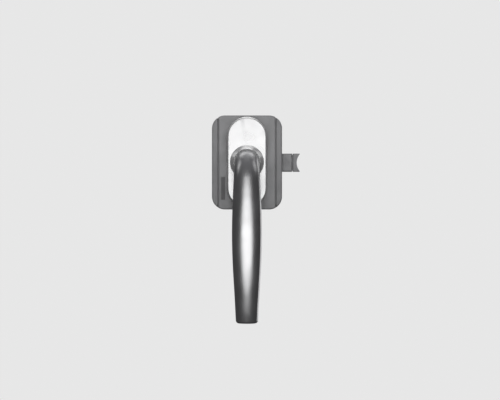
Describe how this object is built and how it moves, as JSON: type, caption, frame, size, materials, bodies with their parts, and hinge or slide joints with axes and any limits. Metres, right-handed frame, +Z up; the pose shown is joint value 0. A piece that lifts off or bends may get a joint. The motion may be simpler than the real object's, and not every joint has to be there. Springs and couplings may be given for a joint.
{
  "type": "tilt turn handle",
  "caption": "Tilt-and-turn window handle: tapering lever on an oval rose, mounted over a flat spring-closer case with a side guide arm and a cord hook.",
  "frame": {"origin": "on the handle's turning axis, in the plane of the sash face (the back of the case)", "axes": "+Z up along the shut window's stile, +X right, -Y into the room along the turning axis, so +Y into the sash"},
  "size_m": [0.0677, 0.0968, 0.1576],
  "materials": {
    "lever_metal": "satin anodised, dark silver",
    "rose_metal": "bright satin silver",
    "zinc_plate": "zinc die casting, passivated",
    "zinc_steel": "zinc plated steel",
    "spring_steel": "oiled spring steel",
    "case_plastic": "fine spark-eroded grain",
    "side_plastic": "fine spark-eroded grain",
    "hook_plastic": "smooth satin",
    "damper_plastic": "smooth satin",
    "nylon": "natural, slightly translucent",
    "rubber": "matt",
    "cord": "fine braid"
  },
  "bodies": {
    "case": {"rear_gasket": "rubber", "rear_tray": "case_plastic", "front_cover": "case_plastic", "left_side_cover": "side_plastic", "right_side_cover": "side_plastic", "case_screws": "zinc_steel", "mounting_plate": "zinc_plate", "neck_bush": "nylon", "cap_ring": "nylon", "fixing_screws": "zinc_steel", "detent_springs": "spring_steel", "drum_axle": "zinc_steel", "return_spring": "spring_steel", "drive_belt": "rubber", "damper_case": "damper_plastic", "damper_cap": "damper_plastic", "damper_seal": "rubber", "guide_arm": "side_plastic"},
    "lever": {"lever": "lever_metal", "square_spindle": "zinc_steel", "spindle_pin": "zinc_steel", "retaining_clip": "spring_steel"},
    "rose": {"rose_cap": "rose_metal"},
    "detent_left": {"detent_ball_left": "spring_steel"},
    "detent_right": {"detent_ball_right": "spring_steel"},
    "hook": {"cord_hook": "hook_plastic", "draw_cords": "cord", "cord_ferrules": "zinc_steel"},
    "drum": {"cord_drum": "nylon", "cord_windings": "cord"},
    "damper": {"damper_rotor": "nylon", "damper_pulley": "nylon"}
  },
  "joints": [
    {"name": "handle_turn", "type": "hinge", "parent": "case", "child": "lever", "pos_m": [0, 0, 0], "axis": [0, 1, 0], "range_deg": [0, 180]},
    {"name": "cap_turn", "type": "hinge", "parent": "case", "child": "rose", "pos_m": [0, 0, 0], "axis": [0, 1, 0], "range_deg": [-90, 90]},
    {"name": "ball_left_slide", "type": "slide", "parent": "case", "child": "detent_left", "axis": [1, 0, 0], "range_m": [0, 0.0006]},
    {"name": "ball_right_slide", "type": "slide", "parent": "case", "child": "detent_right", "axis": [-1, 0, 0], "range_m": [0, 0.0006]},
    {"name": "hook_pull", "type": "slide", "parent": "case", "child": "hook", "axis": [1, 0, 0], "range_m": [0, 0.046]},
    {"name": "drum_turn", "type": "hinge", "parent": "case", "child": "drum", "pos_m": [-0.0175, -0.0068, 0], "axis": [0, 0, 1], "range_deg": [-945, 0]},
    {"name": "damper_turn", "type": "hinge", "parent": "case", "child": "damper", "pos_m": [0.0175, -0.0068, 0], "axis": [0, 0, 1], "range_deg": [-945, 0]}
  ],
  "couplings": [
    {"joint": "drum_turn", "follows": "hook_pull", "rad_per_m": -357.14},
    {"joint": "damper_turn", "follows": "hook_pull", "rad_per_m": -357.14}
  ]
}
